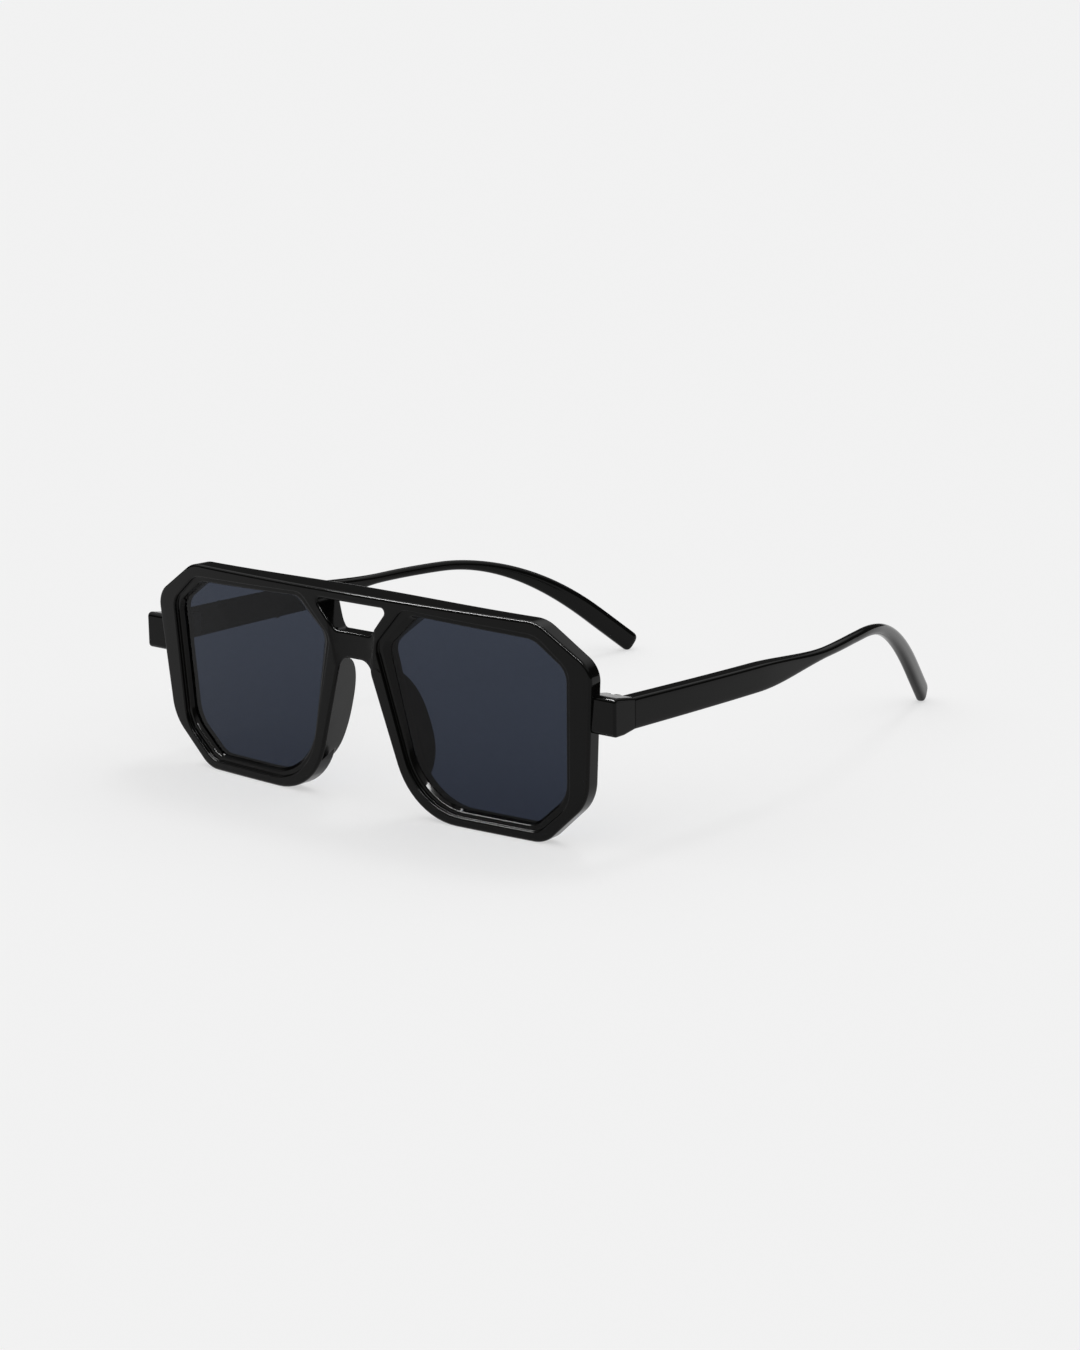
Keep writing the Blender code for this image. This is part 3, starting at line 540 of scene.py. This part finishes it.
def opening_cutter():
    lens_edge = LEDGE + LEDGE_SLOPE
    groove_inset = lens_edge - LENS_IN_GROOVE - GROOVE_GAP
    groove_nose = nose_inset(lens_edge) - LENS_IN_GROOVE - GROOVE_GAP
    groove = opening_outline(groove_inset, groove_nose)
    groove_front = LENS_SET_BACK - GROOVE_GAP
    groove_back = LENS_SET_BACK + LENS_THICKNESS + GROOVE_GAP
    rings = [ring_at(opening_outline(inset), depth) for inset, depth in opening_profile()]
    rings.append(ring_at(groove, groove_front))
    rings.append(ring_at(groove, groove_back))
    rings.append(ring_at(opening_outline(lens_edge), groove_back))
    rings.append(ring_at(opening_outline(lens_edge), RIM_DEPTH - REAR_LIP))
    for step in range(5):
        turn = math.pi / 2 * step / 4
        inset = lens_edge - REAR_FLARE * (1.0 - math.cos(turn))
        depth = RIM_DEPTH - REAR_FLARE * (1.0 - math.sin(turn))
        rings.append(ring_at(opening_outline(inset, nose_inset(lens_edge) + inset - lens_edge), depth))
    last = opening_outline(lens_edge - REAR_FLARE, nose_inset(lens_edge) - REAR_FLARE)
    rings.append(ring_at(last, RIM_DEPTH + 1.0 * MM))
    return loft(rings)


def lug_top():
    return FRONT_HEIGHT - LUG_TOP_BELOW_FRONT_TOP


def lug_outer():
    return RIM_HALF_WIDTH + LUG_PROJECTION


def hinge_height():
    return lug_top() - LUG_HEIGHT / 2 - HINGE_BELOW_LUG_MIDDLE


def lug_front():
    return front_surface(RIM_HALF_WIDTH, hinge_height()) + LUG_SET_BACK


def seam_y():
    return lug_front() + LUG_LENGTH


def hinge_axis():
    return Vector((lug_outer() - BLADE_WIDTH - HINGE_INSIDE_FACE, seam_y(), hinge_height()))


def hinge_half_height():
    return 1.5 * BARREL_HEIGHT + BARREL_GAP


def lug_mesh():
    """The left lug: its side view, extruded across with rounded edges, and cut off square at the seam."""
    top = lug_top()
    bottom = top - LUG_HEIGHT
    low = hinge_height() - BLADE_HEIGHT / 2
    high = hinge_height() + BLADE_HEIGHT / 2
    back = seam_y() - SEAM_GAP / 2
    beyond = back + 3.0 * MM
    front = lug_front()
    inner = RIM_HALF_WIDTH - LUG_OVERLAP
    side_view = rounded(
        [
            (front, bottom, 1.0 * MM),
            (front + 0.5 * LUG_LENGTH, bottom, 2.0 * MM),
            (back, low, 1.0 * MM),
            (beyond, low, 1.0 * MM),
            (beyond, high, 1.0 * MM),
            (back, high, 1.0 * MM),
            (front, top, 1.0 * MM),
        ],
        8,
    )
    mesh = curve_solid([side_view], lug_outer() - inner, LUG_EDGE, 6)
    for vertex in mesh.vertices:
        y, depth, z = vertex.co
        vertex.co = (inner + depth, y, z)
    mesh.flip_normals()
    low_corner = (inner - 1.0 * MM, front - 1.0 * MM, bottom - 1.0 * MM)
    high_corner = (lug_outer() + 1.0 * MM, back, top + 1.0 * MM)
    return combine(mesh, ("INTERSECT", box_mesh(low_corner, high_corner)))


def pad_top():
    return FRONT_HEIGHT - ARCH_BELOW_TOP - PAD_TOP_BELOW_ARCH


def pad_ring(z, gap, steps=16):
    """The pad's outline at height z. With a gap it is grown, for the hole that the pad sits in."""
    bottom = PAD_BOTTOM
    top = pad_top()
    share = min(abs(2.0 * (z - bottom) / (top - bottom) - 1.0), 1.0)
    reach = PAD_DEPTH * (1.0 - share**PAD_ROUNDNESS) ** (1.0 / PAD_ROUNDNESS)
    front_x = nose_edge(z) + PAD_FRONT_OUTWARD
    front_y = front_surface(front_x, z) + PAD_FRONT_SET_BACK
    across = Vector((1.0, -PAD_SPLAY)).normalized()
    along = Vector((PAD_SPLAY, 1.0)).normalized()
    start = Vector((front_x, front_y)) - along * gap
    reach = max(reach, PAD_LEAST_DEPTH) + 2.0 * gap
    clearance = gap
    if gap:
        clearance += PAD_CUT_OUTWARD * smooth_step(z, bottom + PAD_CUT_START, bottom + PAD_CUT_TAPER)
    points = []
    for index in range(steps):
        share = index / (steps - 1)
        points.append(start + along * (reach * share) - across * clearance)
    for index in range(steps):
        share = 1.0 - index / (steps - 1)
        thickness = PAD_THICKNESS * (1.0 - PAD_THINNING * share**2) + gap
        points.append(start + along * (reach * share) + across * thickness)
    return [Vector((x, y, z)) for x, y in points]


def pad_mesh(gap=0.0, levels=44):
    rings = []
    for index in range(levels + 1):
        turn = math.pi * index / levels
        rings.append(pad_ring(mix(PAD_BOTTOM, pad_top(), 0.5 - 0.5 * math.cos(turn)), gap))
    for point in rings[-1]:
        point.z += gap
    return loft(rings)


def leaf_box(low_x, high_x, low_y, high_y, grow=0.0):
    axis = hinge_axis()
    half = hinge_half_height() - LEAF_END_GAP + grow
    low = (axis.x + low_x - grow, axis.y + low_y - grow, axis.z - half)
    high = (axis.x + high_x + grow, axis.y + high_y + grow, axis.z + half)
    return box_mesh(low, high)


def hinge_well():
    """The round hole that the barrels turn in."""
    height = 2 * (hinge_half_height() + SCREW_HEAD_HEIGHT + WELL_END_GAP)
    return cylinder_mesh(BARREL_RADIUS + METAL_GAP, height, hinge_axis())


def front_mesh():
    flat = curve_solid([front_outline(), bridge_hole_outline()], RIM_DEPTH, EDGE_RADIUS)
    opened = combine(
        flat,
        ("DIFFERENCE", on_side(opening_cutter(), 1)),
        ("DIFFERENCE", on_side(opening_cutter(), -1)),
    )
    bend_mesh(opened, slice_planes())
    recess = leaf_box(-BARREL_RADIUS, LEAF_THICKNESS - BARREL_RADIUS, -FRONT_LEAF_LENGTH, 0.0, METAL_GAP)
    steps = []
    for side in (1, -1):
        steps.append(("UNION", on_side(lug_mesh(), side)))
        steps.append(("DIFFERENCE", on_side(hinge_well(), side)))
        steps.append(("DIFFERENCE", on_side(recess, side)))
        steps.append(("DIFFERENCE", on_side(pad_mesh(PAD_GAP), side)))
    return combine(opened, *steps)


def lens_mesh():
    lens_edge = LEDGE + LEDGE_SLOPE
    outline = opening_outline(lens_edge - LENS_IN_GROOVE, nose_inset(lens_edge) - LENS_IN_GROOVE)
    middle = Vector((sum(x for x, _ in outline), sum(z for _, z in outline))) / len(outline)
    shares = [index / 16 for index in range(1, 17)]
    rings = []
    for depth, order in ((LENS_SET_BACK, shares), (LENS_SET_BACK + LENS_THICKNESS, shares[::-1])):
        for share in order:
            points = [middle + (Vector(point) - middle) * share for point in outline]
            rings.append(ring_at([tuple(point) for point in points], depth))
    mesh = loft(rings)
    bend_mesh(mesh)
    return mesh


# Temples, placed by u, the distance behind the seam


def blade_share(u):
    """1 along the tall blade and 0 along the slim arm."""
    return 1.0 - smooth_step(u, BLADE_LENGTH, BLADE_LENGTH + NARROWING_LENGTH)


def ramp(u, start, end):
    """The integral of a slope that grows from 0 at start to 1 at end, and stays 1."""
    if u <= start:
        return 0.0
    if u >= end:
        return (end - start) / 2 + u - end
    return (u - start) ** 2 / (2 * (end - start))


def spine(u, drop):
    x = lug_outer() - BLADE_WIDTH / 2 + BOW * math.sin(math.pi * min(u / (2 * BLADE_LENGTH), 1.0))
    x -= TOE_IN_SLOPE * ramp(u, TOE_IN_START, TOE_IN_END)
    z = hinge_height() - DOWN_SLOPE * u + RISE * smooth_step(u, BLADE_LENGTH, BEND_START)
    z -= drop * ramp(u, BEND_START, BEND_END)
    return Vector((x, seam_y() + SEAM_GAP / 2 + u, z))


def section(u):
    """Half the width, half the height and the squareness of the arm."""
    blade = blade_share(u)
    tip = smooth_step(u, BEND_START + WIDENING_START, TEMPLE_REACH - WIDENING_END)
    width = mix(mix(ARM_WIDTH, TIP_WIDTH, tip), BLADE_WIDTH, blade)
    blade_height = BLADE_HEIGHT - BLADE_TAPER * min(u / BLADE_LENGTH, 1.0)
    height = mix(mix(ARM_HEIGHT, TIP_HEIGHT, tip), blade_height, blade)
    squareness = mix(mix(ARM_SQUARENESS, TIP_SQUARENESS, tip), BLADE_SQUARENESS, blade)
    return width / 2, height / 2, squareness


def section_ring(u, drop, scale=1.0, sides=64):
    centre = spine(u, drop)
    step = 0.5 * MM
    along = (spine(u + step, drop) - spine(u - step, drop)).normalized()
    if u < BLADE_LENGTH / 4:
        along = Vector((0.0, 1.0, 0.0))
    across = along.cross(Vector((0.0, 0.0, 1.0))).normalized()
    upward = across.cross(along)
    half_width, half_height, squareness = section(u)
    ring = []
    for index in range(sides):
        turn = 2 * math.pi * (index + 0.5) / sides
        cosine = math.cos(turn)
        sine = math.sin(turn)
        x = math.copysign(abs(cosine) ** (2 / squareness), cosine) * half_width * scale
        z = math.copysign(abs(sine) ** (2 / squareness), sine) * half_height * scale
        ring.append(centre + across * x + upward * z)
    return ring


def temple_rings(drop, steps=150, sides=64):
    places = [0.1 * MM, 0.3 * MM]
    places += [mix(1.0 * MM, TEMPLE_REACH - TIP_ROUNDING, index / steps) for index in range(steps + 1)]
    rings = [section_ring(0.0, drop, SEAM_EDGE_SHARE, sides)]
    rings += [section_ring(u, drop, 1.0, sides) for u in places]
    for index in range(1, 8):
        turn = math.pi / 2 * index / 7
        u = TEMPLE_REACH - TIP_ROUNDING + TIP_ROUNDING * math.sin(turn)
        scale = 1.0 - 2 * TIP_ROUNDING / TIP_HEIGHT * (1.0 - math.cos(turn))
        rings.append(section_ring(u, drop, scale, sides))
    return rings


def temple_drop():
    """The slope at which the tip just reaches the level of the rims' lower edge."""
    drop = FIRST_DROP
    for _ in range(8):
        lowest = min(point.z for ring in temple_rings(drop, 40, 24) for point in ring)
        drop += lowest / (TEMPLE_REACH - (BEND_START + BEND_END) / 2)
    return drop


def temple_mesh():
    face = HINGE_INSIDE_FACE
    recess = leaf_box(face, face + LEAF_THICKNESS, 0.35 * MM, LEAF_LENGTH, METAL_GAP)
    rings = temple_rings(temple_drop())
    return combine(loft(rings), ("DIFFERENCE", hinge_well()), ("DIFFERENCE", recess))


def screw_mesh():
    """A pin with a domed, slotted head."""
    axis = hinge_axis()
    half = hinge_half_height()
    head_low = half + SCREW_HEAD_GAP
    rim_high = head_low + SCREW_RIM_SHARE * SCREW_HEAD_HEIGHT
    outline = [(PIN_RADIUS, -half), (PIN_RADIUS, head_low)]
    outline += [(SCREW_HEAD_RADIUS, head_low), (SCREW_HEAD_RADIUS, rim_high)]
    for step in range(1, 6):
        turn = math.pi / 2 * step / 6
        radius = SCREW_HEAD_RADIUS * math.cos(turn)
        share = mix(SCREW_RIM_SHARE, 1.0, math.sin(turn))
        outline.append((radius, head_low + SCREW_HEAD_HEIGHT * share))
    angles = [2 * math.pi * index / 40 for index in range(40)]
    rings = []
    for radius, level in outline:
        rings.append([axis + Vector((radius * math.cos(a), radius * math.sin(a), level)) for a in angles])
    slot = Vector((2.0 * MM, SCREW_SLOT_WIDTH / 2, 0.0))
    slot_low = axis - slot + Vector((0.0, 0.0, head_low + 0.5 * SCREW_HEAD_HEIGHT))
    slot_high = axis + slot + Vector((0.0, 0.0, head_low + 2.0 * SCREW_HEAD_HEIGHT))
    return combine(loft(rings), ("DIFFERENCE", box_mesh(slot_low, slot_high)))


# Materials


class Nodes:
    """A material's nodes, added and joined in few words."""

    def __init__(self, name):
        self.material = bpy.data.materials.new(name)
        self.material.use_nodes = True
        self.tree = self.material.node_tree
        self.shader = self.tree.nodes["Principled BSDF"]

    def add(self, kind, **values):
        node = self.tree.nodes.new(kind)
        for name, value in values.items():
            if name in node.inputs:
                node.inputs[name].default_value = value
            else:
                setattr(node, name, value)
        return node

    def join(self, source, target):
        self.tree.links.new(source, target)

    def place(self, scale=(1.0, 1.0, 1.0)):
        coordinates = self.add("ShaderNodeTexCoord")
        mapping = self.add("ShaderNodeMapping", Scale=scale)
        self.join(coordinates.outputs["Object"], mapping.inputs["Vector"])
        return mapping.outputs["Vector"]

    def noise(self, scale, detail=2.0, stretch=(1.0, 1.0, 1.0)):
        noise = self.add("ShaderNodeTexNoise", Scale=scale, Detail=detail)
        self.join(self.place(stretch), noise.inputs["Vector"])
        return noise.outputs["Fac"]

    def spread(self, source, low, high, start=0.3, end=0.7):
        """The source, mapped from start and end to low and high."""
        node = self.add("ShaderNodeMapRange")
        node.inputs["From Min"].default_value = start
        node.inputs["From Max"].default_value = end
        node.inputs["To Min"].default_value = low
        node.inputs["To Max"].default_value = high
        self.join(source, node.inputs["Value"])
        return node.outputs["Result"]

    def bump(self, source, strength, distance):
        node = self.add("ShaderNodeBump", Strength=strength, Distance=distance)
        self.join(source, node.inputs["Height"])
        return node.outputs["Normal"]


def black_plastic(name, low, high, level):
    """Polished black plastic: roughness wanders a little, and the surface is very slightly wavy."""
    nodes = Nodes(name)
    nodes.shader.inputs["Base Color"].default_value = (0.0035, 0.0035, 0.0033, 1.0)
    nodes.shader.inputs["Specular IOR Level"].default_value = level
    rough = nodes.spread(nodes.noise(55.0, 4.0), low, high)
    nodes.join(rough, nodes.shader.inputs["Roughness"])
    wave = nodes.noise(240.0, 2.0)
    nodes.join(nodes.bump(wave, 0.05, 0.00004), nodes.shader.inputs["Normal"])
    return nodes.material


def smoke_lens():
    """Tinted a little less at the top than at the bottom."""
    nodes = Nodes("smoke_lens")
    split = nodes.add("ShaderNodeSeparateXYZ")
    nodes.join(nodes.place((1.0 / FRONT_HEIGHT,) * 3), split.inputs["Vector"])
    grade = nodes.add("ShaderNodeValToRGB")
    grade.color_ramp.elements[0].color = (0.018, 0.024, 0.040, 1.0)
    grade.color_ramp.elements[1].color = (0.034, 0.042, 0.062, 1.0)
    nodes.join(split.outputs["Z"], grade.inputs["Fac"])
    nodes.join(grade.outputs["Color"], nodes.shader.inputs["Base Color"])
    nodes.shader.inputs["Transmission Weight"].default_value = 1.0
    nodes.shader.inputs["IOR"].default_value = 1.22
    rough = nodes.spread(nodes.noise(35.0, 3.0), 0.0, 0.03)
    nodes.join(rough, nodes.shader.inputs["Roughness"])
    return nodes.material


def hinge_steel(name, colour):
    nodes = Nodes(name)
    nodes.shader.inputs["Base Color"].default_value = (*colour, 1.0)
    nodes.shader.inputs["Metallic"].default_value = 1.0
    brushed = nodes.noise(900.0, 3.0, (1.0, 1.0, 14.0))
    nodes.join(nodes.spread(brushed, 0.22, 0.42), nodes.shader.inputs["Roughness"])
    nodes.join(nodes.bump(brushed, 0.15, 0.00002), nodes.shader.inputs["Normal"])
    return nodes.material


def white_sweep():
    """It glows a little, so shadows on it stay light."""
    nodes = Nodes("white_sweep")
    nodes.shader.inputs["Base Color"].default_value = (FLOOR_GREY, FLOOR_GREY, FLOOR_GREY, 1.0)
    nodes.shader.inputs["Emission Color"].default_value = (1.0, 1.0, 1.0, 1.0)
    nodes.shader.inputs["Emission Strength"].default_value = FLOOR_GLOW
    nodes.shader.inputs["Specular IOR Level"].default_value = 0.0
    rough = nodes.spread(nodes.noise(3.0, 2.0), 0.85, 0.95)
    nodes.join(rough, nodes.shader.inputs["Roughness"])
    return nodes.material


# Assembly


def shift():
    """The CAD frame is centred on the whole object, so everything moves back with the hinge axis."""
    joint = next(joint for joint in frame["joints"] if joint["name"] == "left_temple_hinge")
    return Vector((0.0, joint["pos_m"][1] - hinge_axis().y, 0.0))


SHIFT = shift()


def piece(name, mesh, body, slot, material, *nodes):
    mesh.transform(Matrix.Translation(SHIFT))
    mesh.materials.clear()
    mesh.materials.append(material)
    for polygon in mesh.polygons:
        polygon.material_index = 0
    mesh.shade_smooth()
    mesh.set_sharp_from_angle(angle=math.radians(38))
    obj = bpy.data.objects.new(name, mesh)
    bpy.context.scene.collection.objects.link(obj)
    weighted = obj.modifiers.new("Weighted normals", "WEIGHTED_NORMAL")
    weighted.keep_sharp = True
    weighted.weight = 80
    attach(obj, body)
    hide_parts(*nodes)
    return obj


def build():
    plastic = black_plastic("polished_black", 0.06, 0.12, 0.12)
    pad_plastic = black_plastic("satin_black", 0.26, 0.36, 0.07)
    lens = smoke_lens()
    steel = hinge_steel("hinge_steel", (0.45, 0.44, 0.43))
    dark_steel = hinge_steel("blackened_steel", (0.045, 0.045, 0.045))
    piece("front_shell", front_mesh(), "front", "frame", plastic, "front_frame")
    for side, label in ((1, "left"), (-1, "right")):
        arm = f"{label}_arm"
        piece(f"{label}_lens", on_side(lens_mesh(), side), "front", "lens", lens, f"lens_{label}")
        pad = on_side(pad_mesh(), side)
        piece(f"{label}_nose_pad", pad, "front", "pad", pad_plastic, f"nose_pad_{label}")
        piece(f"{label}_temple", on_side(temple_mesh(), side), arm, "frame", plastic, f"temple_{label}")
        screw = on_side(screw_mesh(), side)
        piece(f"{label}_screw", screw, "front", "steel", steel, f"hinge_screw_{label}")
        for node in (f"core_wire_{label}", f"hinge_front_leaf_{label}", f"hinge_temple_leaf_{label}"):
            obj = frame["nodes"][node]
            obj.data.materials.clear()
            obj.data.materials.append(dark_steel)


def add_floor():
    shape = bmesh.new()
    bmesh.ops.create_grid(shape, x_segments=1, y_segments=1, size=FLOOR_HALF_SIZE)
    mesh = bpy.data.meshes.new("floor")
    shape.to_mesh(mesh)
    shape.free()
    floor = bpy.data.objects.new("floor", mesh)
    bpy.context.scene.collection.objects.link(floor)
    floor.location = (0.0, 0.0, CAD_BOX[0].z)
    mesh.materials.append(white_sweep())


def add_camera():
    camera = bpy.data.objects.new("camera", bpy.data.cameras.new("camera"))
    bpy.context.scene.collection.objects.link(camera)
    camera.data.lens = CAMERA_LENS
    camera.data.sensor_width = 36.0
    camera.data.sensor_fit = "AUTO"
    camera.data.clip_start = 0.01
    camera.data.clip_end = 50.0
    back = Vector(CAMERA_BACK).normalized()
    right = Vector(CAMERA_RIGHT)
    right = (right - back * right.dot(back)).normalized()
    turn = Matrix((right, back.cross(right), back)).transposed().to_4x4()
    camera.matrix_world = Matrix.Translation(Vector(CAMERA_PLACE) + SHIFT) @ turn
    bpy.context.scene.camera = camera


def add_sky():
    """A studio that is dark near the horizon and bright overhead."""
    world = bpy.data.worlds.new("studio")
    bpy.context.scene.world = world
    world.use_nodes = True
    tree = world.node_tree
    coordinates = tree.nodes.new("ShaderNodeTexCoord")
    split = tree.nodes.new("ShaderNodeSeparateXYZ")
    grade = tree.nodes.new("ShaderNodeValToRGB")
    tree.links.new(coordinates.outputs["Generated"], split.inputs["Vector"])
    tree.links.new(split.outputs["Z"], grade.inputs["Fac"])
    tree.links.new(grade.outputs["Color"], tree.nodes["Background"].inputs["Color"])
    tree.nodes["Background"].inputs["Strength"].default_value = SKY_STRENGTH
    stops = grade.color_ramp.elements
    stops[0].position = 0.36
    stops[0].color = (0.04, 0.04, 0.04, 1.0)
    stops[1].position = 0.55
    stops[1].color = (1.0, 1.0, 1.0, 1.0)


def add_sun():
    """A wide soft light from behind, which lays the shadows in front of the rims."""
    light = bpy.data.lights.new("soft_sun", "SUN")
    light.energy = SUN_STRENGTH
    light.angle = math.radians(SUN_WIDTH_DEGREES)
    obj = bpy.data.objects.new("soft_sun", light)
    bpy.context.scene.collection.objects.link(obj)
    obj.rotation_euler = Vector(SUN_FROM).to_track_quat("Z", "Y").to_euler()


def add_strip(name, start, end, width, radiance):
    """A strip light between two points, seen only as a reflection."""
    start = Vector(start)
    end = Vector(end)
    length = (end - start).length
    light = bpy.data.lights.new(name, "AREA")
    light.shape = "RECTANGLE"
    light.size = length
    light.size_y = width
    light.energy = radiance * math.pi * length * width
    obj = bpy.data.objects.new(name, light)
    bpy.context.scene.collection.objects.link(obj)
    middle = (start + end) / 2
    across = (end - start).normalized()
    back = (middle - across * middle.dot(across)).normalized()
    turn = Matrix((across, back.cross(across), back)).transposed().to_4x4()
    obj.matrix_world = Matrix.Translation(middle) @ turn
    obj.visible_diffuse = False


def add_lights():
    add_sky()
    add_sun()
    add_strip("edge_strip", *EDGE_STRIP)
    add_strip("corner_strip", *CORNER_STRIP)


build()
add_floor()
add_camera()
add_lights()
bpy.context.scene.view_settings.view_transform = "Standard"
